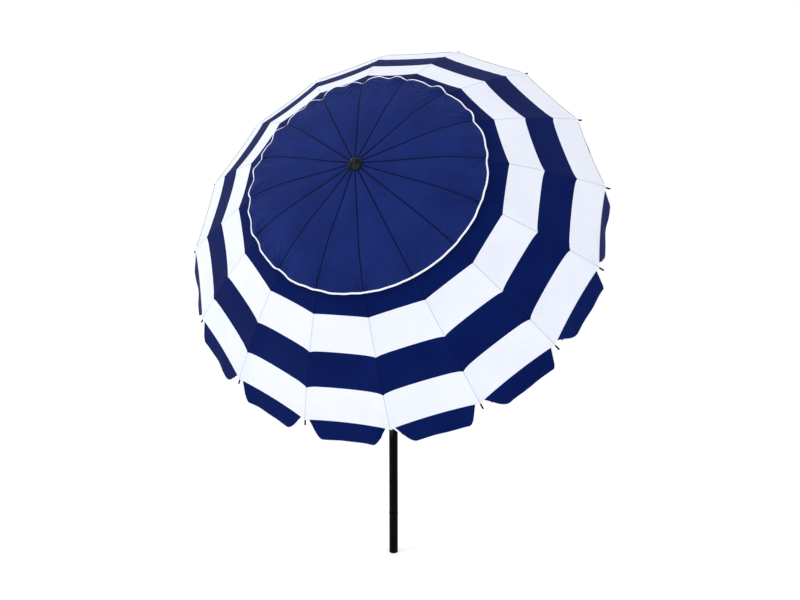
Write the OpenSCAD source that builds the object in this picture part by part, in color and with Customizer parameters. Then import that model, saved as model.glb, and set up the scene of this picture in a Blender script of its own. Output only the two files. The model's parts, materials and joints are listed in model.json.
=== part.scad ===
// Beach umbrella with sixteen ribs, a floating vent cap, a tilt knuckle and a telescoping pole.
// Origin: centre of the pole's foot. +Z runs up the pole. The canopy leans towards -Y.

/* [Canopy] */
// Distance from the shaft's axis to a corner of the rim
rim_r = 890; // [840:5:930]
// Radius of the outer edge of the inner navy ring
ring_1_r = 546; // [530:1:560]
// Radius of the outer edge of the inner white ring
ring_2_r = 668; // [650:1:685]
// Radius of the outer edge of the outer navy ring
ring_3_r = 784; // [760:1:800]
// Radius of the wind vent's opening in the main canopy
vent_r = 400; // [380:1:430]
// Radius of the vent cap's free edge
cap_r = 478; // [465:1:500]
// Height of the vent cap's free edge above the ribs' centre line
cap_lift = 19; // [15:1:30]
// Drop of a valance flap from the rim
flap_drop = 82; // [60:1:95]
// Thickness that stands for the fabric
cloth_t = 1; // [0.8:0.1:1.4]

/* [Ribs] */
// Diameter of a rib
rib_d = 5; // [4:0.2:5.6]
// Slope of a rib where it leaves the crown, in degrees
slope_crown = 8; // [7:0.5:9]
// Slope of a rib at the edge of the inner navy ring, in degrees
slope_ring = 34; // [32:0.5:36]
// Slope of a rib at its tip, in degrees
slope_tip = 42; // [40:0.5:44]
// Distance along a rib from the crown's pivot to the stretcher's ear
stretcher_at = 205; // [190:1:208]
// Depth of the stretcher's pivot under the rib
ear_drop = 9; // [9:0.5:10]
// Radius of the circle of pivots in the crown and the runner
pivot_r = 30; // [30:0.5:32]
// Length of a rib's tip cap
tip_len = 22; // [18:1:32]

/* [Pole] */
// Outer diameter of the lower pole
pole_d = 40; // [39:0.5:42]
// Outer diameter of the upper pole
upper_d = 36; // [35:0.5:36]
// Outer diameter of the canopy's shaft
shaft_d = 30; // [29:0.5:30]
// Wall thickness of the tubes
wall = 1.5; // [1.2:0.1:1.5]
// Length of the detachable foot section
foot_len = 190; // [180:1:200]
// Height of the lower pole's top edge
lower_top = 650; // [630:1:660]
// Height of the tilt pin above the foot
tilt_z = 1500; // [1450:5:1560]
// Lean of the canopy's shaft from the pole, in degrees
tilt = 57; // [45:1:60]
// Distance from the tilt pin up the shaft to the plane of the rim
rim_h = 90; // [85:1:100]

/* [Hidden] */
$fn = 64;
ribs = 16;
pitch = 360 / ribs;
gap = 0.4;            // play between pieces that move past each other
fit = 0.1;            // play between pieces that fit tightly
swept_fn = 360;       // facets of the large rib bends

// Rib line, in a plane through the shaft: straight, then two bends
ear_r = pivot_r + stretcher_at * cos(slope_crown);
bend_1 = (ring_1_r - ear_r) / (sin(slope_ring) - sin(slope_crown));
bend_2 = (rim_r - ring_1_r) / (sin(slope_tip) - sin(slope_ring));
ring_1_z = rim_h + bend_2 * (cos(slope_ring) - cos(slope_tip));
ear_z = ring_1_z + bend_1 * (cos(slope_crown) - cos(slope_ring));
crown_z = ear_z + stretcher_at * sin(slope_crown);
centre_1 = [ear_r - bend_1 * sin(slope_crown), ear_z - bend_1 * cos(slope_crown)];
centre_2 = [rim_r - bend_2 * sin(slope_tip), rim_h - bend_2 * cos(slope_tip)];

// Stretcher linkage: the pivots on crown, rib and runner make an isosceles triangle
stretcher_l = sqrt(stretcher_at * stretcher_at + ear_drop * ear_drop);
stretcher_a = slope_crown + atan(ear_drop / stretcher_at);
hinge_r = pivot_r + stretcher_l * cos(stretcher_a);
hinge_z = crown_z - stretcher_l * sin(stretcher_a);
runner_z = crown_z - 2 * stretcher_l * sin(stretcher_a);
tip_d = rib_d + 2;
tip_hold = tip_len - 6;               // how far a rod reaches into its tip cap
tip_clear = 1;                        // from the rim to the tip cap
socket_d = rib_d + 2;                 // socket in the end of a rib's inner bar
socket_out = 12;                      // how far the socket reaches beyond the ear
socket_in = 5;                        // from the ear to the end of the rod in the socket
rod_fit = 3 * fit;                    // a rod's play in its socket, ferrule or tip cap
eye_d = 8;
eye_t = 4;
eye_hole = 3.4;
wire_d = 2.8;
ear_t = 2.4;
ear_pin_d = 3;
pin_head = 0.8;       // a rivet's end stands out by this
cheek_t = 1.3;
cheek_gap = 0.35;
bar_w = ear_t + 2 * (cheek_t + cheek_gap);
bar_h = 5;
slot_w = 6.4;
sleeve_t = 0.5;
ferrule_t = 0.6;
ferrule_len = 8;
joint_a = 0.05;       // gap between the ends of two rods, in degrees
slot_r = pivot_r - eye_d / 2 - 3 * gap;
hub_r = pivot_r + 7;
hub_h = 18;
flange_t = 5;
crown_top = crown_z + hub_h / 2 + flange_t;
sleeve_r = shaft_d / 2 + 5;
latch_z = runner_z - hub_h / 2 - 20;
latch_d = 10;
button_out = 1;       // a press button's chamfered end

// Tilt knuckle
knuckle_r = 19;
tongue_t = 15.4;
fork_gap = 16;
fork_t = 7;
fork_x = fork_gap / 2 + fork_t;
socket_gap = 24;      // from the tilt pin to the sockets of the pole and the shaft
socket_len = 46;
shaft_foot = socket_gap + 3;
pin_d = 8;
button_d = 14;
button_deep = 4;      // how far the button's bore reaches into the fork
housing_len = 6;
housing_t = 3;
socket_wall = 4;

// Height clamp
clamp_z = 600;
clamp_r = 25;
clamp_screw_z = 628;
screw_d = 6;
knob_at = 38;
knob_r = 17;
knob_t = 16;
knob_lobes = 6;
upper_foot = 480;

// Foot
pole_bore = pole_d - 2 * wall;
plug_t = 3;
collar_h = 8;
collar_r = pole_d / 2 + 0.8;
spigot_len = 60;
pole_button_z = foot_len + 30;
pole_button_d = 8;

// Finial
finial_r = 28.5;
finial_z = crown_top + 3.5;           // room for the vent cap's middle under the finial
dome_r = 12.5;

// Fabric
cloth_off = rib_d / 2 + 2.5;          // rib's centre line to the fabric
// The vent cap's rows from the finial outwards: radius, and height above the ribs' centre line
cap_rows = [[18, 14], [42, 17.2], [130, 13], [250, 14], [365, 16], [cap_r, cap_lift]];
cap_bands = [[18, 42, 130, 250], [250, 365], [365, cap_r]];
flap_inset = 19;                      // from a rib to the end of a flap
seam = 0.4;                           // keeps neighbouring panels apart
flap_taper = 24;                      // a flap's lower edge is shorter by this at each end
flap_gap = 1.5;                       // from the rim to a flap

// ---------- helpers ----------

// Places children in the leaning canopy's frame: the tilt pin at its origin, the shaft along Z
module on_shaft() {
    translate([0, 0, tilt_z]) rotate([tilt, 0, 0]) children();
}

// Places children so that +X points along rib k; rib 1 is just right of the canopy's lowest side
module at_rib(k) {
    on_shaft() rotate([0, 0, -90 + pitch * (k - 0.5)]) children();
}

module tube(d, t, z0, z1) {
    translate([0, 0, z0]) difference() {
        cylinder(d = d, h = z1 - z0);
        translate([0, 0, -1]) cylinder(d = d - 2 * t, h = z1 - z0 + 2);
    }
}

// Cylinder centred on a point, with its axis along Y
module across(d, w) {
    rotate([90, 0, 0]) cylinder(d = d, h = w, center = true);
}

// Height of the ribs' centre line over the tilt pin at radius r
function rib_z(r) =
    r < ear_r ? crown_z - (r - pivot_r) * tan(slope_crown)
    : r < ring_1_r ? centre_1[1] + sqrt(pow(bend_1, 2) - pow(r - centre_1[0], 2))
    : centre_2[1] + sqrt(pow(bend_2, 2) - pow(r - centre_2[0], 2));

// Closed solid of one gore between two ribs; rows holds [radius, height] from the middle outwards
module gore(rows, k) {
    n = len(rows);
    pts = [for (row = rows, side = [-1, 1], up = [-0.5, 0.5])
        [row[0] * cos(pitch / 2), side * (row[0] * sin(pitch / 2) - seam), row[1] + up * cloth_t]];
    skin = [for (i = [0 : n - 2]) each [
        [4 * i + 1, 4 * i + 5, 4 * i + 7, 4 * i + 3],
        [4 * i, 4 * i + 2, 4 * i + 6, 4 * i + 4],
        [4 * i, 4 * i + 4, 4 * i + 5, 4 * i + 1],
        [4 * i + 2, 4 * i + 3, 4 * i + 7, 4 * i + 6]]];
    ends = [[0, 1, 3, 2], [4 * n - 4, 4 * n - 2, 4 * n - 1, 4 * n - 3]];
    on_shaft() rotate([0, 0, -90 + pitch * k])
        polyhedron(points = pts, faces = concat(skin, ends), convexity = 4);
}

// Sixteen gores between two radii, lying on the ribs, in bands that are flat enough for one hull each
module ring(inner, outer, bands = 1) {
    rows = 2;
    width = (outer - inner) / bands;
    for (k = [0 : ribs - 1], band = [0 : bands - 1]) {
        start = inner + band * width + seam;
        radii = [for (i = [0 : rows]) start + (width - 2 * seam) * i / rows];
        gore([for (r = radii) [r, rib_z(r) + cloth_off]], k);
    }
}

// Notched disc round the shaft, with a ring of pivots at height z
module notched_hub(z) {
    difference() {
        translate([0, 0, z - hub_h / 2]) cylinder(r = hub_r, h = hub_h);
        for (k = [1 : ribs]) rotate([0, 0, -90 + pitch * (k - 0.5)])
            translate([slot_r, -slot_w / 2, z - hub_h / 2 - 1]) cube([hub_r, slot_w, hub_h + 2]);
        translate([0, 0, z]) wire_ring(wire_d + 2 * fit);
    }
}

module wire_ring(d) {
    rotate_extrude($fn = 128) translate([pivot_r, 0]) circle(d = d, $fn = 24);
}

// ---------- pole ----------

module foot_plug() {
    neck_len = 18;
    neck_t = 3;
    color("#1b1b1d") difference() {
        union() {
            cylinder(d = pole_d, h = plug_t);
            cylinder(d = pole_bore - 2 * fit, h = plug_t + neck_len);
        }
        translate([0, 0, plug_t]) cylinder(d = pole_bore - 2 * neck_t, h = neck_len + 1);
    }
}

module button_hole() {
    translate([0, 0, pole_button_z]) rotate([90, 0, 0]) cylinder(d = pole_button_d + gap, h = pole_d);
}

// Foot tube with a spigot fixed in its top, which plugs into the lower tube
module foot_section() {
    spigot_d = pole_bore - 2 * fit;
    held_len = 20;
    color("#08080a") difference() {
        union() {
            tube(pole_d, wall, plug_t, foot_len);
            tube(spigot_d, wall, foot_len - held_len, foot_len + spigot_len);
            tube(spigot_d + 1, wall, foot_len - held_len, foot_len - 2);
        }
        button_hole();
    }
}

module lower_tube() {
    color("#08080a") difference() {
        union() {
            tube(pole_d, wall, foot_len, lower_top);
            tube(2 * collar_r, collar_r - pole_d / 2 + wall, foot_len, foot_len + collar_h);
        }
        button_hole();
        translate([0, 0, clamp_screw_z]) rotate([-90, 0, 0])
            cylinder(d = screw_d + gap, h = pole_d);
    }
}

module pole_button() {
    button_len = 11;
    dome_r = 12;
    tip = pole_d / 2 + 2.5;
    color("#b9bcc0") translate([0, 0, pole_button_z]) rotate([90, 0, 0]) intersection() {
        translate([0, 0, tip - button_len]) cylinder(d = pole_button_d, h = button_len);
        translate([0, 0, tip - dome_r]) sphere(r = dome_r);
    }
}

// Leaf spring folded into a U inside the foot section; it pushes the button out
module pole_button_spring() {
    leaf_w = 7;
    leaf_t = 0.8;
    leg = 30;
    inner = pole_d / 2 - 9;
    color("#9a9da2") translate([0, 0, pole_button_z - leaf_w]) {
        translate([-leaf_w / 2, -inner, 0]) cube([leaf_w, leaf_t, leg]);
        translate([-leaf_w / 2, inner - leaf_t, 0]) cube([leaf_w, leaf_t, leg]);
        translate([0, 0, leg]) rotate([0, 90, 0]) difference() {
            cylinder(r = inner, h = leaf_w, center = true);
            cylinder(r = inner - leaf_t, h = leaf_w + 2, center = true);
            translate([inner, 0, 0]) cube([2 * inner, 3 * inner, leaf_w + 2], center = true);
        }
    }
}

module clamp_collar() {
    boss_r = 10;
    boss_len = 12;
    lip = 10;
    color("#141416") difference() {
        union() {
            translate([0, 0, clamp_z]) cylinder(r = clamp_r, h = lower_top - clamp_z + lip);
            translate([0, 0, clamp_screw_z]) rotate([-90, 0, 0])
                cylinder(r = boss_r, h = clamp_r + boss_len);
        }
        translate([0, 0, clamp_z - 1]) cylinder(d = pole_d, h = lower_top - clamp_z + 1);
        translate([0, 0, clamp_z]) cylinder(d = upper_d + 2 * gap, h = lower_top);
        translate([0, 0, clamp_screw_z]) rotate([-90, 0, 0])
            cylinder(d = screw_d + 2 * fit, h = lower_top);
    }
}

// Scalloped knob on a clamping screw that presses on the upper pole
module clamp_knob() {
    scallop_r = 7;
    recess = 1.5;
    color("#141416") translate([0, 0, clamp_screw_z]) rotate([-90, 0, 0]) {
        translate([0, 0, upper_d / 2 + gap]) cylinder(d = screw_d, h = knob_at + 4 - upper_d / 2);
        difference() {
            translate([0, 0, knob_at]) cylinder(r = knob_r, h = knob_t);
            for (i = [1 : knob_lobes]) rotate([0, 0, i * 360 / knob_lobes])
                translate([knob_r + scallop_r * 0.6, 0, knob_at - 1])
                    cylinder(r = scallop_r, h = knob_t + 2);
            translate([0, 0, knob_at + knob_t - recess]) cylinder(r = scallop_r, h = 2 * recess);
        }
    }
}

module upper_tube() {
    color("#08080a") tube(upper_d, wall, upper_foot, tilt_z - socket_gap - plug_t);
}

// ---------- tilt knuckle ----------

module tilt_fork() {
    base = tilt_z - socket_gap - socket_len;
    cheek_x = (fork_x + fork_gap / 2) / 2;
    color("#141416") difference() {
        union() {
            translate([0, 0, base]) cylinder(d = upper_d + 2 * socket_wall, h = socket_len);
            for (side = [-1, 1]) {
                translate([side * cheek_x, 0, tilt_z]) rotate([0, 90, 0])
                    cylinder(r = knuckle_r, h = fork_t, center = true);
                translate([side * cheek_x, 0, tilt_z - socket_gap / 2])
                    cube([fork_t, 2 * knuckle_r, socket_gap], center = true);
            }
            translate([fork_x - 1, 0, tilt_z]) rotate([0, 90, 0])
                cylinder(d = button_d + 2 * housing_t, h = housing_len + 1);
        }
        translate([0, 0, base - 1]) cylinder(d = upper_d, h = socket_len - 1);
        translate([-2 * fork_x, 0, tilt_z]) rotate([0, 90, 0]) cylinder(d = pin_d, h = 4 * fork_x);
        translate([fork_x - button_deep, 0, tilt_z]) rotate([0, 90, 0])
            cylinder(d = button_d + gap, h = 2 * fork_x);
    }
}

module tilt_pin() {
    head_t = 2;
    head_d = pin_d + 5;
    color("#b9bcc0") translate([-fork_x, 0, tilt_z]) rotate([0, 90, 0]) {
        cylinder(d = pin_d, h = 2 * fork_x - button_deep - 1);
        translate([0, 0, -head_t]) cylinder(d = head_d, h = head_t);
    }
}

module tilt_button() {
    chamfer = 1.5;
    color("#2a2a2e") translate([fork_x + gap, 0, tilt_z]) rotate([0, 90, 0]) {
        cylinder(d = button_d, h = housing_len + 1);
        translate([0, 0, housing_len + 1])
            cylinder(d1 = button_d, d2 = button_d - 2 * chamfer, h = chamfer);
    }
}

module tilt_head() {
    neck_w = 2 * knuckle_r - 4;
    collar_t = 5;
    head_len = 42;
    color("#141416") on_shaft() difference() {
        union() {
            rotate([0, 90, 0]) cylinder(r = knuckle_r - gap, h = tongue_t, center = true);
            translate([0, 0, socket_gap / 2]) cube([tongue_t, neck_w, socket_gap], center = true);
            translate([0, 0, socket_gap]) cylinder(d = shaft_d + 2 * collar_t, h = head_len);
        }
        rotate([0, 90, 0]) cylinder(d = pin_d + fit, h = 4 * fork_x, center = true);
        translate([0, 0, shaft_foot]) cylinder(d = shaft_d, h = socket_len);
    }
}

module shaft_tube() {
    color("#08080a") on_shaft() tube(shaft_d, wall, shaft_foot, crown_top);
}

// ---------- hubs ----------

module crown() {
    neck = 10;
    color("#141416") on_shaft() difference() {
        union() {
            notched_hub(crown_z);
            translate([0, 0, crown_z + hub_h / 2]) cylinder(r = hub_r + 2, h = flange_t);
            translate([0, 0, crown_z - hub_h / 2 - neck]) cylinder(r = sleeve_r, h = neck);
        }
        translate([0, 0, crown_z - 2 * hub_h]) cylinder(d = shaft_d, h = 4 * hub_h);
    }
}

module crown_ring() {
    color("#b9bcc0") on_shaft() translate([0, 0, crown_z]) wire_ring(wire_d);
}

module runner() {
    sleeve_len = 34;
    boss_r = 8;
    color("#141416") on_shaft() difference() {
        union() {
            notched_hub(runner_z);
            translate([0, 0, runner_z - hub_h / 2 - sleeve_len]) cylinder(r = sleeve_r, h = sleeve_len);
            translate([0, 0, latch_z]) rotate([90, 0, 0]) cylinder(r = boss_r, h = sleeve_r + 6);
        }
        translate([0, 0, runner_z - 2 * sleeve_len])
            cylinder(d = shaft_d + 2 * gap, h = 3 * sleeve_len);
        translate([0, 0, latch_z]) rotate([90, 0, 0])
            cylinder(d = latch_d + gap, h = 2 * sleeve_len);
    }
}

module runner_ring() {
    color("#b9bcc0") on_shaft() translate([0, 0, runner_z]) wire_ring(wire_d);
}

// Thumb latch that holds the runner up; pressing it lets the canopy close
module runner_button() {
    nose = shaft_d / 2 + 4.5;
    reach = 9;
    color("#2a2a2e") on_shaft() translate([0, 0, latch_z]) rotate([90, 0, 0]) {
        translate([0, 0, nose]) cylinder(d = latch_d, h = reach);
        translate([0, 0, nose + reach])
            cylinder(d1 = latch_d, d2 = latch_d - 2 * button_out, h = button_out);
    }
}

// Stepped cone with a round knob; its spigot plugs the shaft
module finial() {
    base_t = 3;
    steps = 5;
    step_h = 3.4;
    step_in = 2.8;
    draft = 1.6;
    ledge = 2.5;
    sunk = 0.1;
    spigot_len = 24;
    color("#3a3836") on_shaft() translate([0, 0, finial_z]) {
        cylinder(r1 = finial_r, r2 = finial_r - draft / 2, h = base_t);
        for (i = [0 : steps - 1]) {
            r0 = finial_r - ledge - i * step_in;
            translate([0, 0, base_t + i * step_h - sunk])
                cylinder(r1 = r0, r2 = r0 - draft, h = step_h + sunk);
        }
        translate([0, 0, base_t + steps * step_h]) difference() {
            sphere(r = dome_r);
            translate([0, 0, -dome_r]) cube(2 * dome_r, center = true);
        }
        translate([0, 0, -spigot_len])
            cylinder(d = shaft_d - 2 * wall - fit, h = spigot_len + 1);
    }
}

// ---------- ribs ----------

// A straight inner bar with its eye, the stretcher's ear and a socket; a middle rod and an outer
// rod, joined by a ferrule; the ear's pin; and a tip cap
module rib(k) {
    color("#17171a") at_rib(k) {
        inner_bar();
        bend(centre_1, bend_1, slope_crown + degrees(socket_in, bend_1), slope_ring - joint_a);
        bend(centre_2, bend_2, slope_ring, slope_tip + degrees(tip_hold, bend_2));
        translate([ring_1_r, 0, ring_1_z]) rotate([0, 90 + slope_ring, 0])
            tube(rib_d + rod_fit + 2 * ferrule_t, ferrule_t, -ferrule_len, ferrule_len);
        translate([hinge_r, 0, hinge_z]) across(ear_pin_d, bar_w + 2 * pin_head);
        tip_cap();
    }
}

// Angle that a length takes on a bend, in degrees
function degrees(length, radius) = length / radius * 180 / PI;

module inner_bar() {
    difference() {
        union() {
            translate([pivot_r, 0, crown_z]) {
                across(eye_d, eye_t);
                rotate([0, 90 + slope_crown, 0]) {
                    translate([0, 0, 1]) cylinder(d = rib_d + sleeve_t, h = stretcher_at);
                    translate([0, 0, stretcher_at]) cylinder(d = socket_d, h = socket_out);
                }
            }
            translate([hinge_r, 0, hinge_z]) across(eye_d, ear_t);
            translate([ear_r, 0, ear_z]) rotate([0, slope_crown, 0])
                translate([-eye_d / 2, -ear_t / 2, -ear_drop]) cube([eye_d, ear_t, ear_drop]);
        }
        translate([pivot_r, 0, crown_z]) across(eye_hole, 2 * eye_t);
        translate([ear_r, 0, ear_z]) rotate([0, 90 + slope_crown, 0])
            translate([0, 0, socket_in - gap]) cylinder(d = rib_d + rod_fit, h = socket_out);
    }
}

module tip_cap() {
    chamfer = 2;
    translate([rim_r + tip_clear * cos(slope_tip), 0, rim_h - tip_clear * sin(slope_tip)])
        rotate([0, 90 + slope_tip, 0]) difference() {
            union() {
                cylinder(d = tip_d, h = tip_len);
                translate([0, 0, tip_len]) cylinder(d1 = tip_d, d2 = rib_d, h = chamfer);
            }
            translate([0, 0, -1]) cylinder(d = rib_d + rod_fit, h = tip_len);
        }
}

// Rod bent round a centre, from one slope to the next
module bend(centre, radius, from, to) {
    translate([centre[0], 0, centre[1]]) rotate([90, 0, 0]) rotate([0, 0, 90 - to])
        rotate_extrude(angle = to - from, $fn = swept_fn)
            translate([radius, 0]) circle(d = rib_d, $fn = 32);
}

// Strut from the rib's ear down to the runner, forked round the ear
module stretcher(k) {
    fork_len = 14;
    fork_open = 10;
    color("#17171a") at_rib(k)
        translate([pivot_r, 0, runner_z]) rotate([0, -stretcher_a, 0]) difference() {
            union() {
                across(eye_d, eye_t);
                translate([eye_hole, -eye_t / 2, -bar_h / 2])
                    cube([stretcher_l - 2 * eye_hole, eye_t, bar_h]);
                translate([stretcher_l - fork_len, -bar_w / 2, -bar_h / 2])
                    cube([fork_len, bar_w, bar_h]);
                translate([stretcher_l, 0, 0]) across(eye_d, bar_w);
            }
            across(eye_hole, 2 * eye_t);
            translate([stretcher_l, 0, 0]) across(ear_pin_d + fit, 2 * bar_w);
            translate([stretcher_l, 0, 0])
                cube([2 * fork_open, ear_t + 2 * cheek_gap, 3 * bar_h], center = true);
        }
}

// ---------- fabric ----------

// Sixteen gores in bands. Each band starts a seam's gap after the one inside it
module vent_cap() {
    color("navy") for (k = [0 : ribs - 1], band = cap_bands)
        gore([for (at = band) let (r = at == band[0] ? at + 2 * seam : at)
            [r, rib_z(r) + lookup(r, cap_rows)]], k);
}

// Lean of a flap outside the rim: in line with the canopy on its low side, tucked under on its high side
function flap_lean(k) = 75 - 38 * cos(pitch * k);

// Sixteen flaps, each hanging from the rim between two ribs
module valance() {
    half = rim_r * sin(pitch / 2) - flap_inset;
    edge_r = rim_r * cos(pitch / 2) + seam;
    low = half - flap_taper;
    middle = half - flap_taper / 3;
    middle_drop = flap_drop * 0.6;
    color("navy") for (k = [0 : ribs - 1])
        on_shaft() rotate([0, 0, -90 + pitch * k])
            translate([edge_r, 0, rim_h + cloth_off]) rotate([0, flap_lean(k), 0])
                rotate([0, 0, -90]) linear_extrude(cloth_t)
                    polygon([[-half, flap_gap], [half, flap_gap], [middle, middle_drop],
                        [low, flap_drop], [-low, flap_drop], [-middle, middle_drop]]);
}

// ---------- nodes ----------

foot_plug();
foot_section();
pole_button();
pole_button_spring();
lower_tube();
clamp_collar();
clamp_knob();
upper_tube();
tilt_fork();
tilt_pin();
tilt_button();
tilt_head();
shaft_tube();
crown();
crown_ring();
runner();
runner_ring();
runner_button();
finial();
color("navy") ring(vent_r, ring_1_r, 2);  // navy_ring_inner
color("white") ring(ring_1_r, ring_2_r);  // white_ring_inner
color("navy") ring(ring_2_r, ring_3_r);  // navy_ring_outer
color("white") ring(ring_3_r, rim_r);  // white_ring_outer
vent_cap();
valance();
rib(1);  // rib_01
rib(2);  // rib_02
rib(3);  // rib_03
rib(4);  // rib_04
rib(5);  // rib_05
rib(6);  // rib_06
rib(7);  // rib_07
rib(8);  // rib_08
rib(9);  // rib_09
rib(10);  // rib_10
rib(11);  // rib_11
rib(12);  // rib_12
rib(13);  // rib_13
rib(14);  // rib_14
rib(15);  // rib_15
rib(16);  // rib_16
stretcher(1);  // stretcher_01
stretcher(2);  // stretcher_02
stretcher(3);  // stretcher_03
stretcher(4);  // stretcher_04
stretcher(5);  // stretcher_05
stretcher(6);  // stretcher_06
stretcher(7);  // stretcher_07
stretcher(8);  // stretcher_08
stretcher(9);  // stretcher_09
stretcher(10);  // stretcher_10
stretcher(11);  // stretcher_11
stretcher(12);  // stretcher_12
stretcher(13);  // stretcher_13
stretcher(14);  // stretcher_14
stretcher(15);  // stretcher_15
stretcher(16);  // stretcher_16
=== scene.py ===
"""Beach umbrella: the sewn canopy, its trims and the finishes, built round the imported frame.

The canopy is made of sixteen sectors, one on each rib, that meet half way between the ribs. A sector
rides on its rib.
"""
import json
import math

import bpy
import numpy as np
from mathutils import Matrix, Vector


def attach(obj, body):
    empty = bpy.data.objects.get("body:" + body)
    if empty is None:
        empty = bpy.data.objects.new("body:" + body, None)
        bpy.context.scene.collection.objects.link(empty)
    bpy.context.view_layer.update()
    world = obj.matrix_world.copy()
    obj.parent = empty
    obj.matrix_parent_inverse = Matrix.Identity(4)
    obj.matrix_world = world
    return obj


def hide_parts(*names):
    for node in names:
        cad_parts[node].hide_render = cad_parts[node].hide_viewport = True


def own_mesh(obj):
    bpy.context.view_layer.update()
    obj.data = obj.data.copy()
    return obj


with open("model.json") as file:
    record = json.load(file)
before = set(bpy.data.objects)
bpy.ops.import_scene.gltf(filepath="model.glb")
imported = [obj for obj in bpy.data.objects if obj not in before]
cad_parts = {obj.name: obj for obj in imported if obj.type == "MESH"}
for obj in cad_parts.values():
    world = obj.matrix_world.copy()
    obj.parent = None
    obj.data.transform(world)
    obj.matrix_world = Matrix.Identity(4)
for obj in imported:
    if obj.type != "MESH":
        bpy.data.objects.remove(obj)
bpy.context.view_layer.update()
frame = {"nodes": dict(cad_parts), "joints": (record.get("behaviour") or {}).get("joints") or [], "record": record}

MM = 0.001

# ---------- the canopy's frame, read from the joints ----------

JOINTS = {j["name"]: j for j in frame["joints"]}
RIBS = 16
PITCH = 2 * math.pi / RIBS      # angle between two ribs
HALF = PITCH / 2

pivots = np.array([JOINTS[f"rib_{k:02d}_fold"]["pos_m"] for k in range(1, RIBS + 1)])
tilt_pin = np.array(JOINTS["tilt"]["pos_m"])
crown = pivots.mean(axis=0)
UP = (crown - tilt_pin) / np.linalg.norm(crown - tilt_pin)
SIDE = np.array([1.0, 0.0, 0.0])
AXES = np.stack([SIDE, np.cross(UP, SIDE), UP])     # the canopy's X, Y and Z, in the row frame


def to_row(points):
    """Canopy coordinates, with the tilt pin at the origin and the shaft along Z, to the row frame."""
    return tilt_pin + points @ AXES


def to_canopy(points):
    """Row frame to canopy coordinates."""
    return (points - tilt_pin) @ AXES.T


def gore_azimuth(gore):
    """Angle of the middle of a gore, the panel between ribs gore and gore + 1. Gore 0 is the lowest."""
    return -math.pi / 2 + PITCH * gore


def turned(points, azimuth):
    """Points turned about the shaft."""
    c, s = math.cos(azimuth), math.sin(azimuth)
    x, y, z = points[..., 0], points[..., 1], points[..., 2]
    return np.stack([x * c - y * s, x * s + y * c, z], axis=-1)


def node_radii(node):
    """Smallest and largest distance of a CAD node's corners from the shaft."""
    co = to_canopy(np.array([v.co for v in frame["nodes"][node].data.vertices]))
    r = np.hypot(co[:, 0], co[:, 1])
    return r.min(), r.max()


def border(inner_node, outer_node):
    """Radius where one ring of cloth meets the next."""
    return (node_radii(inner_node)[1] + node_radii(outer_node)[0]) / 2


VENT_R = node_radii("navy_ring_inner")[0]
RING_1 = border("navy_ring_inner", "white_ring_inner")
RING_2 = border("white_ring_inner", "navy_ring_outer")
RING_3 = border("navy_ring_outer", "white_ring_outer")
RIM_R = node_radii("white_ring_outer")[1] + 0.5 * MM
CAP_R = node_radii("vent_cap")[1]
CAP_HOLE = 0.018             # the vent cap's hole for the finial
PIVOT_R = np.linalg.norm(pivots[0] - crown)
CROWN_Z = np.linalg.norm(crown - tilt_pin)

# ---------- the rib line: straight, then two bends ----------

STRETCHER_AT = 0.205         # from a rib's pivot to its stretcher's ear, where the first bend starts
SLOPES = [math.radians(angle) for angle in (8, 34, 42)]      # at the crown, at RING_1 and at the rim
SIN_CROWN, SIN_RING, SIN_TIP = (math.sin(slope) for slope in SLOPES)
EAR_R = PIVOT_R + STRETCHER_AT * math.cos(SLOPES[0])
BEND_1 = (RING_1 - EAR_R) / (SIN_RING - SIN_CROWN)
BEND_2 = (RIM_R - RING_1) / (SIN_TIP - SIN_RING)


def rib_sine(r):
    """Sine of the rib line's slope at radius r."""
    first = SIN_CROWN + np.maximum(r - EAR_R, 0) / BEND_1
    second = SIN_RING + (r - RING_1) / BEND_2
    return np.where(r < RING_1, first, second)


def cosine(sine):
    """Cosine of a slope whose sine is given."""
    return np.sqrt(1 - sine ** 2)


def rib_height(r):
    """Height of the ribs' centre line over the tilt pin."""
    straight = CROWN_Z - (np.minimum(r, EAR_R) - PIVOT_R) * SIN_CROWN / cosine(SIN_CROWN)
    first = BEND_1 * (cosine(rib_sine(np.minimum(r, RING_1))) - cosine(SIN_CROWN))
    second = BEND_2 * (cosine(rib_sine(np.maximum(r, RING_1))) - cosine(SIN_RING))
    return straight + np.where(r > EAR_R, first, 0) + np.where(r > RING_1, second, 0)


# ---------- the cloth's surfaces, in canopy coordinates ----------

CLOTH_OFF = 4.5 * MM        # from a rib's centre line to the middle of the cloth
CLOTH_T = 0.5 * MM
SAG = 3.5 * MM              # how far a panel sinks between its ribs
SEAM_HALF = 5 * MM          # half width of the sewn seam on a rib
CUSP_REACH = 14 * MM        # a rib pulls the stripes outwards over this distance
CREASE_AT = 34 * MM         # distance from a rib's tip at which the creases are deepest
CREASE_DEPTH = 1.9 * MM
CREASE_WIDTH = 0.09         # in radians
CREASE_ANGLES = np.radians([14, 33, 56])
RIPPLE = 0.7 * MM           # slow unevenness of a panel

draws = np.random.RandomState(16)
PHASES = draws.uniform(0, 2 * math.pi, (RIBS, 6))
SLACK = draws.uniform(0.7, 1.3, RIBS)
CREASE_JITTER = draws.uniform(-0.09, 0.09, (RIBS, 2, len(CREASE_ANGLES)))
CREASE_SHARE = draws.uniform(0.45, 1.15, (RIBS, 2, len(CREASE_ANGLES)))


def stripe_pull(r):
    """How far a stripe's edge lies inside the line between two ribs: just off the ribs, and more half way."""
    at = [VENT_R, RING_1, RING_2, RING_3, RIM_R]
    off_rib = np.interp(r, at, [0, 0.5 * MM, 3.5 * MM, 5.5 * MM, 1 * MM])
    half_way = np.interp(r, at, [0, 0, 1 * MM, 2 * MM, 4 * MM])
    return off_rib, half_way


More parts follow.
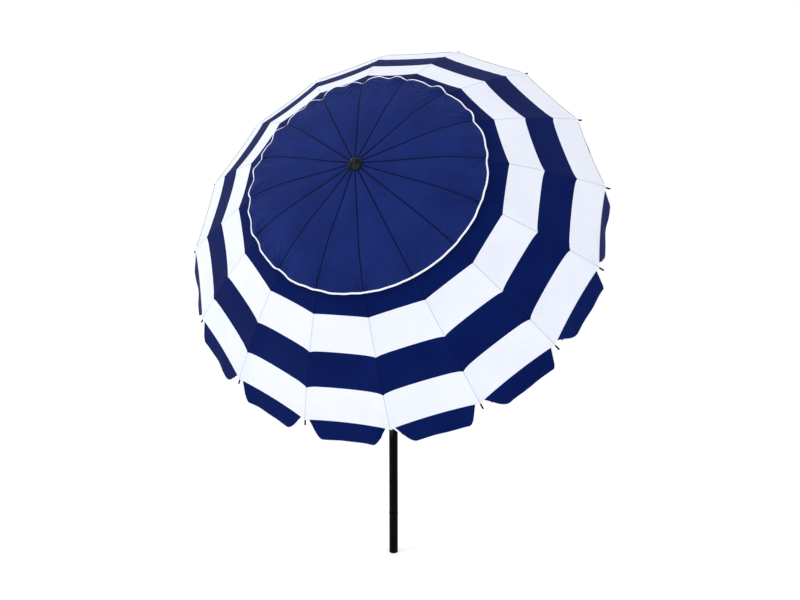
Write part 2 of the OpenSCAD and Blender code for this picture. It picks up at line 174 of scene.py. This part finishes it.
def sewn(distance):
    """Height of a flat-felled seam at a distance from its line of stitches."""
    ridge = 0.35 * MM * np.exp(-(np.abs(distance) / SEAM_HALF) ** 6)
    groove = 0.7 * MM * np.exp(-(distance / (1.1 * MM)) ** 2)
    return ridge - groove


def creases(gore, end, along, across):
    """Creases that fan out from a rib's tip into one panel."""
    reach = np.hypot(along, across) + 1e-9
    angle = np.arctan2(across, along)
    depth = np.zeros_like(reach)
    for i, middle in enumerate(CREASE_ANGLES):
        turn = (angle - middle - CREASE_JITTER[gore, end, i]) / CREASE_WIDTH
        depth += CREASE_SHARE[gore, end, i] * (1 - turn ** 2) * np.exp(-turn ** 2 / 1.6)
    return depth * CREASE_DEPTH * (reach / CREASE_AT) * np.exp(1 - reach / CREASE_AT)


def ripples(gore, v, r):
    """Height of the slow waves in a stretched panel, which end at its ribs."""
    p = PHASES[gore]
    slow = np.sin(9 * r / RIM_R + 1.6 * v + p[0]) + 0.6 * np.sin(17 * r / RIM_R - 2.3 * v + p[1])
    return RIPPLE * slow * (1 - v ** 2)


def panel(gore, v, r):
    """The main canopy between two ribs: v is -1 on one rib and 1 on the next, r the radius on the ribs."""
    off_rib, half_way = stripe_pull(r)
    across = (1 - np.abs(v)) * r * math.sin(HALF)
    at = r - off_rib * (1 - np.exp(-across / CUSP_REACH)) - half_way * (1 - v ** 2)
    sine = rib_sine(at)
    on_rib = at + CLOTH_OFF * sine
    points = np.stack([on_rib * math.cos(HALF), v * on_rib * math.sin(HALF),
                       rib_height(at) + CLOTH_OFF * cosine(sine)], axis=-1)
    lift = ripples(gore, v, r) - SAG * SLACK[gore] * (1 - v ** 2)
    lift = lift + sewn(across)
    for ring in (RING_1, RING_2, RING_3):
        lift = lift + 0.6 * sewn(r - ring)
    for end, near in enumerate((v < 0, v >= 0)):
        lift = lift + np.where(near, creases(gore, end, RIM_R - r, across), 0)
    up = np.stack([sine, np.zeros_like(sine), cosine(sine)], axis=-1)
    return turned(points + up * lift[..., None], gore_azimuth(gore))


CAP_LIFT_R = np.array([18, 42, 130, 250, 365, 478]) * MM
CAP_LIFT = np.array([14.2, 16.8, 13, 14, 16.5, 19]) * MM    # the cap's height over the ribs at CAP_LIFT_R
CAP_PUFF = 5 * MM                     # how far the cap's panels swell between their seams
LOWEST_LIFT = -9 * MM                 # the cap stays clear of the canopy under it
CALM_AZIMUTH = math.radians(-50)      # the cap's edge is smooth on this side and fluttered opposite
WAVES = ((19, 0.6), (31, 0.8), (47, 1.0))   # waves round the edge, and their share
FLUTTER_OUT, FLUTTER_UP = 4 * MM, 6 * MM
TUCK_WIDTH = 17 * MM
TUCK_IN, TUCK_DOWN = 8 * MM, 3 * MM   # how far a tuck at a seam draws the cap's edge
CAP_CREASES, CAP_RIPPLES = 2.0, 3.4   # how much deeper they are than in the canopy below
WAVE_PHASES = draws.uniform(0, 2 * math.pi, (2, len(WAVES)))
TUCKS = draws.uniform(0.35, 1.0, RIBS)


def restless(azimuth):
    """From near 0 on the calm side of the vent cap to 1 opposite."""
    return 0.15 + 0.85 * np.sqrt(0.5 - 0.5 * np.cos(azimuth - CALM_AZIMUTH))


def flutter(azimuth, phases):
    """Waves of the vent cap's loose edge, about -1 to 1."""
    total = sum(share * np.sin(count * azimuth + phase) for (count, share), phase in zip(WAVES, phases))
    return 0.6 * total * restless(azimuth)


def vent_cap(gore, v, r):
    """The vent cap between two seams. Its middle follows the ribs, and its edge is round."""
    share = r / CAP_R
    loose = np.clip((share - 0.3) / 0.7, 0, 1) ** 1.5
    chord = math.cos(HALF) / np.cos(v * HALF)
    azimuth = gore_azimuth(gore) + v * HALF
    across = (1 - np.abs(v)) * r * math.sin(HALF)
    sine = rib_sine(r)
    tuck = TUCKS[(gore + (v > 0)) % RIBS] * restless(azimuth) * share ** 8
    pinch = tuck * np.exp(-(across / TUCK_WIDTH) ** 2)
    radial = r * ((1 - loose) * chord + loose) - TUCK_IN * pinch
    radial = radial + FLUTTER_OUT * flutter(azimuth, WAVE_PHASES[0]) * share ** 9
    height = rib_height(r) + np.interp(r, CAP_LIFT_R, CAP_LIFT)
    lift = CAP_PUFF * (1 - np.abs(v) ** 1.6) * np.sin(math.pi * share ** 0.8)
    lift = lift - 1.8 * MM * np.exp(-(across / (3 * MM)) ** 2) + sewn(across)
    lift = lift + FLUTTER_UP * flutter(azimuth, WAVE_PHASES[1]) * share ** 6 - TUCK_DOWN * pinch
    for end, near in enumerate((v < 0, v >= 0)):
        lift = lift + np.where(near, CAP_CREASES * creases(gore, end, CAP_R - r, across), 0)
    lift = np.maximum(lift + CAP_RIPPLES * ripples((gore + 5) % RIBS, v, r) * share, LOWEST_LIFT)
    points = np.stack([radial * np.cos(v * HALF) + sine * lift, radial * np.sin(v * HALF),
                       height + cosine(sine) * lift], axis=-1)
    return turned(points, gore_azimuth(gore))


FLAP_DROP = 82 * MM
FLAP_INSET = 13 * MM         # from a rib to the end of a flap's sewn edge
FLAP_TAPER = 22 * MM         # how much shorter a flap's lower edge is at each end
FLAP_HANG = (0.7, 0.4)       # low side, high side: 0 is in line with the cloth above, 1 hangs plumb
FLAP_SLIP = 0.4              # how far a flap that leans downhill slips along its edge, for its drop
FLAP_BILLOW = 3.4 * MM
CORNER, CORNER_LEAN = 0.28, 0.22    # share of a half flap that its corner rounds, and more where it leans
PLUMB = to_canopy(tilt_pin + np.array([0.0, 0.0, -1.0]))


def hang_direction(gore):
    """The way a flap hangs, the direction of its sewn edge, and how steeply that edge runs downhill."""
    azimuth = gore_azimuth(gore)
    outward = np.array([math.cos(azimuth), math.sin(azimuth), 0])
    edge = np.array([-math.sin(azimuth), math.cos(azimuth), 0])
    in_line = outward * cosine(SIN_TIP) - np.array([0, 0, 1]) * SIN_TIP
    plumb = PLUMB - edge * (PLUMB @ edge)
    plumb /= np.linalg.norm(plumb)
    angle = math.acos(np.clip(in_line @ plumb, -1, 1))
    low, high = FLAP_HANG
    share = low + (high - low) * math.sqrt(max(0, math.sin(azimuth)))
    hang = in_line * math.sin((1 - share) * angle) + plumb * math.sin(share * angle)
    return hang / math.sin(angle), edge, PLUMB @ edge


def flap(gore, u, w):
    """A valance flap: u runs from -1 to 1 along its sewn edge, w from 0 there to 1 at its free edge."""
    hang, edge, lean = hang_direction(gore)
    front = np.cross(hang, edge)
    half = RIM_R * math.sin(HALF)
    top = half - FLAP_INSET             # half of the sewn edge
    x = u * (top - FLAP_TAPER * w)
    rounded = CORNER + CORNER_LEAN * lean * np.sign(u)
    corner = 1 - (0.10 + 1.3 * rounded) * np.clip((np.abs(u) - 1 + rounded) / rounded, 0, 1) ** 2
    drop = FLAP_DROP * w * corner
    sewn_edge = panel(gore, np.clip(u * top / half, -0.98, 0.98), np.full_like(u, RIM_R))
    p = PHASES[gore]
    wave = np.sin(3.6 * u + p[2]) + 0.4 * np.sin(8 * u + p[3])
    billow = FLAP_BILLOW * wave * w ** 1.3
    along = (x - u * top) + FLAP_SLIP * max(lean, 0) * drop
    return (sewn_edge + edge * along[..., None] + hang * (drop - 1.5 * MM)[..., None]
            + front * (billow + 0.6 * MM)[..., None])


# ---------- meshes ----------

def half_columns():
    """Shares of the way from a rib to the middle of a panel, close together near the rib."""
    even = np.linspace(0, 1, 20)
    return even * (0.2 + 0.8 * even)


def sector_columns():
    """Columns of a sector, from -1 over the rib at 0 to 1, with one more beyond each end for the normals."""
    half = half_columns()
    beyond = 2 - half[-2]
    return np.concatenate([[-beyond], -half[::-1], half[1:], [beyond]])


def rows_between(inner, outer, step):
    """Radii across one ring of cloth, with extra rows beside its seams."""
    hem = np.array([1.2, 3.0, 5.5]) * MM
    middle = np.linspace(inner + 9 * MM, outer - 9 * MM, max(2, round((outer - inner) / step)))
    return np.concatenate([[inner], inner + hem, middle, outer - hem[::-1], [outer]])


def sector(surface, k, rows):
    """Points of one sector on rib k, as rows by columns, and each column's share of a panel."""
    columns = sector_columns()
    r, t = np.meshgrid(rows, columns, indexing="ij")
    gore_before, gore_after = (k - 1) % RIBS, k % RIBS
    before = surface(gore_before, 1 + t, r)
    after = surface(gore_after, -1 + t, r)
    return np.where((t < 0)[..., None], before, after), r, t


def grid_normals(points):
    """Unit normals of a grid of points, outwards where rows run out from the shaft and columns run left."""
    down = np.gradient(points, axis=0)
    over = np.gradient(points, axis=1)
    normals = np.cross(down, over)
    return normals / np.linalg.norm(normals, axis=-1, keepdims=True)


def grid_faces(rows, columns, first=0):
    """Quads of a grid, seen from the side its normals point to."""
    index = np.arange(rows * columns).reshape(rows, columns) + first
    return np.stack([index[:-1, :-1], index[1:, :-1], index[1:, 1:], index[:-1, 1:]], axis=-1).reshape(-1, 4)


def mesh_object(name, points, faces, normals=None, attributes=None, material=None):
    """A smooth-shaded mesh object in the row frame."""
    mesh = bpy.data.meshes.new(name)
    mesh.from_pydata(points.tolist(), [], faces if isinstance(faces, list) else faces.tolist())
    for key, values in (attributes or {}).items():
        mesh.attributes.new(key, "FLOAT", "POINT").data.foreach_set("value", values.astype(np.float32))
    mesh.shade_smooth()
    if normals is not None:
        mesh.normals_split_custom_set_from_vertices(normals.tolist())
    if material:
        mesh.materials.append(material)
    obj = bpy.data.objects.new(name, mesh)
    bpy.context.scene.collection.objects.link(obj)
    return obj


def cloth_shell(grids):
    """Closed shells of cloth from grids of (points, normals, attributes), as one mesh's arrays."""
    points, normals, faces, first = [], [], [], 0
    attributes = {key: [] for key in grids[0][2]}
    for middle, normal, values in grids:
        rows, columns = middle.shape[:2]
        for side in (1, -1):
            points.append((middle + side * normal * CLOTH_T / 2).reshape(-1, 3))
            normals.append((side * normal).reshape(-1, 3))
            for key in attributes:
                attributes[key].append(values[key].reshape(-1))
        size = rows * columns
        top = grid_faces(rows, columns, first)
        faces += [top, grid_faces(rows, columns, first + size)[:, ::-1]]
        index = np.arange(size).reshape(rows, columns) + first
        loop = np.concatenate([index[0, :-1], index[:-1, -1], index[-1, :0:-1], index[:0:-1, 0]])
        turn = np.roll(loop, -1)
        faces.append(np.stack([loop, turn, turn + size, loop + size], axis=-1))
        first += 2 * size
    return (to_row(np.concatenate(points)), np.concatenate(faces), np.concatenate(normals) @ AXES,
            {key: np.concatenate(values) for key, values in attributes.items()})


def cloth_piece(name, grids, material):
    """One object of cloth from its grids."""
    points, faces, normals, attributes = cloth_shell(grids)
    return mesh_object(name, points, faces, normals, attributes, material)


def run_length(points):
    """Distance along a row of points from its first."""
    steps = np.linalg.norm(np.diff(points, axis=0), axis=-1)
    return np.concatenate([[0], np.cumsum(steps)])


def swept(points, across, lift, width, thickness, sides=10):
    """Points and faces of a flat, round-edged tape along a path. across and lift are unit directions at each
    point, along the tape's width and its thickness."""
    angles = np.arange(sides) * 2 * math.pi / sides
    ring = (across[:, None] * (np.cos(angles) * width / 2)[None, :, None]
            + lift[:, None] * (np.sin(angles) * thickness / 2)[None, :, None])
    tube = points[:, None] + ring
    n = len(points)
    i, j = np.meshgrid(np.arange(n - 1), np.arange(sides), indexing="ij")
    nxt = (j + 1) % sides
    faces = np.stack([i * sides + j, i * sides + nxt, (i + 1) * sides + nxt, (i + 1) * sides + j], axis=-1)
    ends = [list(range(sides))[::-1], [(n - 1) * sides + s for s in range(sides)]]
    return tube.reshape(-1, 3), faces.reshape(-1, 4).tolist() + ends


# ---------- materials ----------

def new_material(name):
    """A material, its node tree and its shader."""
    material = bpy.data.materials.new(name)
    material.use_nodes = True
    tree = material.node_tree
    return material, tree, tree.nodes["Principled BSDF"]


def math_node(tree, operation, a, b=None, clamp=False):
    """A Math node; a and b are sockets or numbers."""
    node = tree.nodes.new("ShaderNodeMath")
    node.operation = operation
    node.use_clamp = clamp
    for socket, value in zip(node.inputs, (a, b)):
        if value is None:
            continue
        if isinstance(value, bpy.types.NodeSocket):
            tree.links.new(value, socket)
        else:
            socket.default_value = value
    return node.outputs[0]


def attribute(tree, name):
    """A mesh attribute's value."""
    node = tree.nodes.new("ShaderNodeAttribute")
    node.attribute_name = name
    return node.outputs["Fac"]


def noise(tree, scale, detail=2.0, stretch=(1, 1, 1), roughness=0.5):
    """Noise in object coordinates, as its Fac socket."""
    coords = tree.nodes.new("ShaderNodeTexCoord")
    mapping = tree.nodes.new("ShaderNodeMapping")
    mapping.inputs["Scale"].default_value = stretch
    texture = tree.nodes.new("ShaderNodeTexNoise")
    texture.inputs["Scale"].default_value = scale
    texture.inputs["Detail"].default_value = detail
    texture.inputs["Roughness"].default_value = roughness
    tree.links.new(coords.outputs["Object"], mapping.inputs["Vector"])
    tree.links.new(mapping.outputs["Vector"], texture.inputs["Vector"])
    return texture.outputs["Fac"]


def ramp(tree, factor, low, high, colour_low, colour_high):
    """Colour from colour_low, where factor is low or less, to colour_high."""
    node = tree.nodes.new("ShaderNodeValToRGB")
    node.color_ramp.elements[0].position = low
    node.color_ramp.elements[1].position = high
    node.color_ramp.elements[0].color = (*colour_low, 1)
    node.color_ramp.elements[1].color = (*colour_high, 1)
    tree.links.new(factor, node.inputs["Fac"])
    return node.outputs["Color"]


def mix_colour(tree, factor, a, b):
    """Colour a where factor is 0 and b where it is 1; each is a socket or a colour."""
    node = tree.nodes.new("ShaderNodeMix")
    node.data_type = "RGBA"
    for socket, value in ((node.inputs["Factor"], factor), (node.inputs[6], a), (node.inputs[7], b)):
        if isinstance(value, bpy.types.NodeSocket):
            tree.links.new(value, socket)
        elif isinstance(value, tuple):
            socket.default_value = (*value, 1)
        else:
            socket.default_value = value
    return node.outputs[2]


def bump(tree, height, distance, strength, under=None):
    """Normal of a bump, on top of the bump called under."""
    node = tree.nodes.new("ShaderNodeBump")
    node.inputs["Strength"].default_value = strength
    node.inputs["Distance"].default_value = distance
    tree.links.new(height, node.inputs["Height"])
    if under is not None:
        tree.links.new(under, node.inputs["Normal"])
    return node.outputs["Normal"]


def band(tree, value, centre, half_width):
    """1 where value lies within half_width of centre."""
    away = math_node(tree, "ABSOLUTE", math_node(tree, "SUBTRACT", value, centre))
    return math_node(tree, "LESS_THAN", away, half_width)


YARN = 1.1 * MM              # one pair of threads in the weave
STITCH = 3.2 * MM
STITCHES_AT = 4 * MM         # from the middle of a seam to its lines of stitches
TAPE_RIB = 1.6 * MM


def fabric(name, colour, shade, seam_shade_colour, thread, sheen, specular=0.03, seam_shade_half=2.4 * MM):
    """Woven polyester with sewn seams, and painted shade in their grooves. "across" is the distance from a seam
    and "along" runs beside it.
    """
    material, tree, shader = new_material(name)
    across, along = attribute(tree, "across"), attribute(tree, "along")
    warp = math_node(tree, "SINE", math_node(tree, "MULTIPLY", across, 2 * math.pi / YARN))
    weft = math_node(tree, "SINE", math_node(tree, "MULTIPLY", along, 2 * math.pi / YARN))
    weave = math_node(tree, "MULTIPLY", warp, weft)
    uneven = noise(tree, 7.0, 4.0)
    slub = noise(tree, 260.0, 2.0)
    base = ramp(tree, uneven, 0.3, 0.7, shade, colour)
    base = mix_colour(tree, math_node(tree, "MULTIPLY", slub, 0.10), base, shade)
    near = math_node(tree, "ABSOLUTE", across)
    groove_shade = math_node(tree, "SUBTRACT", 1.0, math_node(tree, "DIVIDE", near, seam_shade_half), clamp=True)
    # painted shade: near each seam the cloth fades to the darker seam colour, which stands in for the shade in the
    # seam's groove
    base = mix_colour(tree, groove_shade, base, seam_shade_colour)
    step = math_node(tree, "FRACT", math_node(tree, "DIVIDE", along, STITCH))
    dash = math_node(tree, "GREATER_THAN", step, 0.3)
    stitch = math_node(tree, "MULTIPLY", dash, band(tree, near, STITCHES_AT, 0.35 * MM))
    base = mix_colour(tree, math_node(tree, "MULTIPLY", stitch, 0.6), base, thread)
    tree.links.new(base, shader.inputs["Base Color"])
    rough = math_node(tree, "ADD", math_node(tree, "MULTIPLY", uneven, 0.14), 0.66)
    tree.links.new(rough, shader.inputs["Roughness"])
    woven = bump(tree, weave, 0.12 * MM, 0.5)
    tree.links.new(bump(tree, stitch, 0.3 * MM, 0.8, woven), shader.inputs["Normal"])
    shader.inputs["Specular IOR Level"].default_value = specular
    shader.inputs["Sheen Weight"].default_value = sheen
    shader.inputs["Sheen Roughness"].default_value = 0.45
    return material


def tape(name, colour, shade):
    """Ribbed binding tape."""
    material, tree, shader = new_material(name)
    turns = math_node(tree, "MULTIPLY", attribute(tree, "along"), 2 * math.pi / TAPE_RIB)
    ribs = math_node(tree, "SINE", turns)
    soil = noise(tree, 30.0, 4.0)
    tree.links.new(ramp(tree, soil, 0.3, 0.75, colour, shade), shader.inputs["Base Color"])
    rough = math_node(tree, "ADD", math_node(tree, "MULTIPLY", soil, 0.15), 0.65)
    tree.links.new(rough, shader.inputs["Roughness"])
    tree.links.new(bump(tree, ribs, 0.2 * MM, 0.6), shader.inputs["Normal"])
    shader.inputs["Specular IOR Level"].default_value = 0.2
    shader.inputs["Sheen Weight"].default_value = 0.15
    return material


def hard(name, colour, worn, roughness, grain, depth, specular=0.5, metallic=0.0, stretch=(1, 1, 1)):
    """Plastic, paint or metal with a grain of the given scale and depth, and slight wear."""
    material, tree, shader = new_material(name)
    patches = noise(tree, 18.0, 5.0, roughness=0.62)
    fine = noise(tree, grain, 2.0, stretch)
    base = ramp(tree, patches, 0.42, 0.72, colour, worn)
    base = mix_colour(tree, math_node(tree, "MULTIPLY", fine, 0.15), base, worn)
    tree.links.new(base, shader.inputs["Base Color"])
    spread = math_node(tree, "MULTIPLY", math_node(tree, "SUBTRACT", patches, 0.5), 0.25)
    blur = math_node(tree, "MULTIPLY", math_node(tree, "SUBTRACT", fine, 0.5), 0.12)
    rough = math_node(tree, "ADD", math_node(tree, "ADD", spread, blur), roughness, clamp=True)
    tree.links.new(rough, shader.inputs["Roughness"])
    tree.links.new(bump(tree, fine, depth, 0.6), shader.inputs["Normal"])
    shader.inputs["Metallic"].default_value = metallic
    shader.inputs["Specular IOR Level"].default_value = specular
    return material


# each fabric's third colour is painted shade for the grooves of its seams
NAVY = fabric("navy cloth", (0.0024, 0.0108, 0.092), (0.0014, 0.0076, 0.074), (0.0006, 0.0014, 0.016),
              (0.02, 0.035, 0.16), sheen=0.045, specular=0.015)
# the cap's seams get a wider band of painted shade
NAVY_CAP = fabric("navy cap cloth", (0.0085, 0.0225, 0.145), (0.0050, 0.0150, 0.112), (0.0008, 0.0016, 0.018),
                  (0.02, 0.035, 0.16), sheen=0.03, specular=0.06, seam_shade_half=4.5 * MM)
WHITE = fabric("white cloth", (0.84, 0.86, 0.93), (0.79, 0.815, 0.90), (0.50, 0.53, 0.62),
               (0.93, 0.93, 0.95), sheen=0.05)
TAPE = tape("white tape", (0.96, 0.965, 0.99), (0.88, 0.89, 0.93))
PAINT = hard("black paint", (0.0014, 0.0013, 0.0014), (0.0034, 0.0032, 0.0030), 0.30, 900, 0.02 * MM,
             specular=0.03)
PLASTIC = hard("black plastic", (0.004, 0.004, 0.0046), (0.010, 0.010, 0.011), 0.44, 1400, 0.05 * MM,
               specular=0.14)
BUTTON = hard("button plastic", (0.014, 0.014, 0.016), (0.028, 0.028, 0.031), 0.22, 1600, 0.02 * MM,
              specular=0.4)
FINIAL = hard("finial plastic", (0.0020, 0.0026, 0.0040), (0.012, 0.012, 0.014), 0.20, 1200, 0.05 * MM,
              specular=0.30)
STEEL = hard("zinc plate", (0.46, 0.46, 0.48), (0.62, 0.61, 0.58), 0.30, 2200, 0.01 * MM, metallic=1.0,
             stretch=(1, 1, 0.05))
DARK_STEEL = hard("dark steel", (0.008, 0.008, 0.009), (0.030, 0.029, 0.028), 0.34, 2200, 0.01 * MM,
                  metallic=1.0)
COATING = hard("rib coating", (0.002, 0.002, 0.0024), (0.007, 0.0068, 0.0064), 0.34, 700, 0.02 * MM,
               specular=0.07)

FINISHES = {
    "black_paint": PAINT, "black_plastic": PLASTIC, "button_plastic": BUTTON, "finial_plastic": FINIAL,
    "steel": STEEL, "rib_coating": COATING, "navy_fabric": NAVY, "white_fabric": WHITE,
}
OWN_FINISHES = {"pole_button": DARK_STEEL}       # the photo shows no bright spot on the pole


def finish_cad_nodes():
    """Gives each carried-over CAD node its finish, and smooth shading with crisp edges."""
    slots = {part["node"]: part["material_slot"] for part in frame["record"]["subparts"]}
    for name, obj in frame["nodes"].items():
        obj.data.materials.clear()
        obj.data.materials.append(OWN_FINISHES.get(name, FINISHES[slots[name]]))
        obj.data.shade_smooth()
        obj.data.set_sharp_from_angle(angle=math.radians(35))


# ---------- the canopy's pieces ----------

def ride_on_rib(piece, k):
    """The piece moves with rib k, on a mesh of its own."""
    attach(piece, f"rib_{k:02d}")
    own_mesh(piece)
    return piece


def rib_lengths(points):
    """Distance of each row of a sector's grid from its first row, along the rib."""
    return run_length(points[:, points.shape[1] // 2])


def cloth_grid(surface, k, rows):
    """Middle surface, normals and seam coordinates of one sector."""
    points, r, t = sector(surface, k, rows)
    normals = grid_normals(points)[:, 1:-1]
    points, r, t = points[:, 1:-1], r[:, 1:-1], t[:, 1:-1]
    along = np.repeat(rib_lengths(points)[:, None], points.shape[1], axis=1)
    across = t * r * math.sin(HALF)
    return points, normals, {"across": across, "along": along + rows[0]}


def ring_piece(k, node, inner, outer, step, material, slot):
    """The part of one ring of cloth that lies on rib k."""
    grid = cloth_grid(panel, k, rows_between(inner, outer, step))
    piece = ride_on_rib(cloth_piece(f"{node}_{k:02d}", [grid], material), k)
    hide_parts(node)


def cap_rows():
    """Radii across the vent cap, closer together near its loose edge."""
    hem = CAP_R - np.array([7, 4, 1.5, 0]) * MM
    calm = np.linspace(CAP_HOLE, CAP_R - 90 * MM, 46)
    return np.concatenate([calm, np.linspace(CAP_R - 85 * MM, CAP_R - 11 * MM, 20), hem])


def vent_cap_piece(k):
    """The sector of the vent cap over rib k."""
    grid = cloth_grid(vent_cap, k, cap_rows())
    piece = ride_on_rib(cloth_piece(f"vent_cap_{k:02d}", [grid], NAVY_CAP), k)
    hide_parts("vent_cap")


def flap_grid(gore, start, end):
    """Part of a valance flap between two places along it."""
    u, w = np.meshgrid(np.linspace(start, end, 34), np.linspace(0, 1, 16), indexing="xy")
    points = flap(gore, u, w)
    # kept well away from 0, so that no painted seam shade falls on the flap
    across = w * FLAP_DROP + 3 * SEAM_HALF
    along = u * RIM_R * math.sin(HALF)
    return points, grid_normals(points), {"across": across, "along": along}


def valance_piece(k):
    """The two half flaps beside rib k."""
    grids = [flap_grid((k - 1) % RIBS, 0, 1), flap_grid(k % RIBS, -1, 0)]
    piece = ride_on_rib(cloth_piece(f"valance_{k:02d}", grids, NAVY), k)
    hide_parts("valance")


BINDING_WIDTH = 6.5 * MM
PIPING_WIDTH = 7.2 * MM
TAPE_THICK = 1.7 * MM
TAPE_OVERLAP = 0.38          # share of a tape's width by which its middle lies inside the cloth's edge


def edge_tape(points, inwards, width):
    """Tape folded over an edge of cloth. inwards points from the edge into the cloth."""
    ahead = np.gradient(points, axis=0)
    ahead /= np.linalg.norm(ahead, axis=-1, keepdims=True)
    inwards = inwards - ahead * np.sum(inwards * ahead, axis=-1, keepdims=True)
    inwards /= np.linalg.norm(inwards, axis=-1, keepdims=True)
    path = points + inwards * width * TAPE_OVERLAP
    tube, faces = swept(path, inwards, np.cross(ahead, inwards), width, TAPE_THICK)
    return to_row(tube), faces, np.repeat(run_length(points), len(tube) // len(points))


def flap_edge(gore, side):
    """Half of a flap's free edge, from its sewn end round the corner to the middle, and the way inwards."""
    down = np.linspace(0, 1, 18)
    over = np.linspace(1, 0, 40)[1:]
    u = np.concatenate([np.ones_like(down), over]) * side
    w = np.concatenate([down, np.ones_like(over)])
    points = flap(gore, u, w)
    return points, flap(gore, 0.93 * u, 0.88 * w) - points


def tape_piece(name, k, tapes):
    """White tapes on rib k, joined into one piece."""
    points, faces, along, first = [], [], [], 0
    for tube, quads, run in tapes:
        points.append(tube)
        along.append(run)
        faces += [[corner + first for corner in face] for face in quads]
        first += len(tube)
    piece = mesh_object(f"{name}_{k:02d}", np.concatenate(points), faces,
                        attributes={"along": np.concatenate(along)}, material=TAPE)
    ride_on_rib(piece, k)


def piping(k):
    """The white tape on the vent cap's edge."""
    edge = sector(vent_cap, k, np.array([CAP_R - 4 * MM, CAP_R]))[0][:, 1:-1]
    tape_piece("cap_piping", k, [edge_tape(edge[1], edge[0] - edge[1], PIPING_WIDTH)])


def binding(k):
    """The white tape round the two half flaps beside rib k."""
    halves = (((k - 1) % RIBS, 1), (k % RIBS, -1))
    tapes = [edge_tape(*flap_edge(gore, side), BINDING_WIDTH) for gore, side in halves]
    tape_piece("flap_binding", k, tapes)


# each ring's CAD node, inner and outer radius, space between rows, material and slot
RINGS = [
    ("navy_ring_inner", VENT_R, RING_1, 6 * MM, NAVY, "navy_fabric"),
    ("white_ring_inner", RING_1, RING_2, 6 * MM, WHITE, "white_fabric"),
    ("navy_ring_outer", RING_2, RING_3, 6 * MM, NAVY, "navy_fabric"),
    ("white_ring_outer", RING_3, RIM_R, 3.6 * MM, WHITE, "white_fabric"),
]

for k in range(1, RIBS + 1):
    for ring in RINGS:
        ring_piece(k, *ring)
    vent_cap_piece(k)
    piping(k)
    valance_piece(k)
    binding(k)

finish_cad_nodes()

# ---------- floor, light and camera ----------

PHOTO_AZIMUTH = math.radians(18)       # how far the camera stands to the right of the canopy's low side
PHOTO_PITCH = math.radians(10.65)      # how far it looks down
LENS_MM, SENSOR_MM = 33.228, 36
RIM_CENTRE = to_row(np.array([0, 0, 0.09]))
CAMERA_OFFSET = (0.0531, -0.332, 3.104)    # from the rim's centre: right, up and back
FLOOR_HALF = 60.0


def make_camera():
    """The photo's point of view."""
    camera = bpy.data.objects.new("camera", bpy.data.cameras.new("camera"))
    bpy.context.scene.collection.objects.link(camera)
    level = math.pi / 2
    turn = Matrix.Rotation(PHOTO_AZIMUTH, 4, "Z") @ Matrix.Rotation(level - PHOTO_PITCH, 4, "X")
    camera.matrix_world = Matrix.Translation(RIM_CENTRE) @ turn @ Matrix.Translation(CAMERA_OFFSET)
    camera.data.sensor_width = SENSOR_MM
    camera.data.lens = LENS_MM
    camera.data.clip_end = 200
    bpy.context.scene.camera = camera


def make_floor():
    """A pale floor that fades into the background."""
    material, tree, shader = new_material("floor")
    shade = ramp(tree, noise(tree, 3.0, 3.0), 0.3, 0.7, (0.90, 0.90, 0.90), (0.93, 0.93, 0.93))
    tree.links.new(shade, shader.inputs["Base Color"])
    shader.inputs["Roughness"].default_value = 0.9
    shader.inputs["Emission Color"].default_value = (1, 1, 1, 1)
    shader.inputs["Emission Strength"].default_value = 0.36
    corners = FLOOR_HALF * np.array([[-1, -1, 0], [1, -1, 0], [1, 1, 0], [-1, 1, 0]], float)
    floor = mesh_object("floor", corners, [[0, 1, 2, 3]], material=material)


# each lamp's name, place, size and power
LAMPS = [
    ("key", (-3.4, -2.6, 4.6), 2.6, 80),
    ("fill", (4.2, -3.8, 2.2), 3.2, 40),
    ("top", (0.9, 0.7, 5.6), 3.0, 24),
]


def background(tree, colour, strength):
    """Output of a Background node."""
    node = tree.nodes.new("ShaderNodeBackground")
    node.inputs["Color"].default_value = (*colour, 1)
    node.inputs["Strength"].default_value = strength
    return node.outputs[0]


def make_light():
    """A white surround, which lights the scene less than it shows, and three round lamps."""
    world = bpy.data.worlds.new("studio")
    bpy.context.scene.world = world
    world.use_nodes = True
    tree = world.node_tree
    tree.nodes.clear()
    output = tree.nodes.new("ShaderNodeOutputWorld")
    mix = tree.nodes.new("ShaderNodeMixShader")
    path = tree.nodes.new("ShaderNodeLightPath")
    tree.links.new(path.outputs["Is Camera Ray"], mix.inputs[0])
    tree.links.new(background(tree, (0.95, 0.97, 1), 0.76), mix.inputs[1])
    tree.links.new(background(tree, (1, 1, 1), 1.05), mix.inputs[2])
    tree.links.new(mix.outputs[0], output.inputs["Surface"])
    for name, place, size, power in LAMPS:
        lamp = bpy.data.lights.new(name, "AREA")
        lamp.shape = "DISK"
        lamp.size = size
        lamp.energy = power
        obj = bpy.data.objects.new(name, lamp)
        bpy.context.scene.collection.objects.link(obj)
        obj.location = place
        aim = Vector(RIM_CENTRE) - Vector(place)
        obj.rotation_euler = aim.to_track_quat("-Z", "Y").to_euler()


make_camera()
make_floor()
make_light()
bpy.context.scene.view_settings.view_transform = "Standard"

bpy.context.view_layer.update()
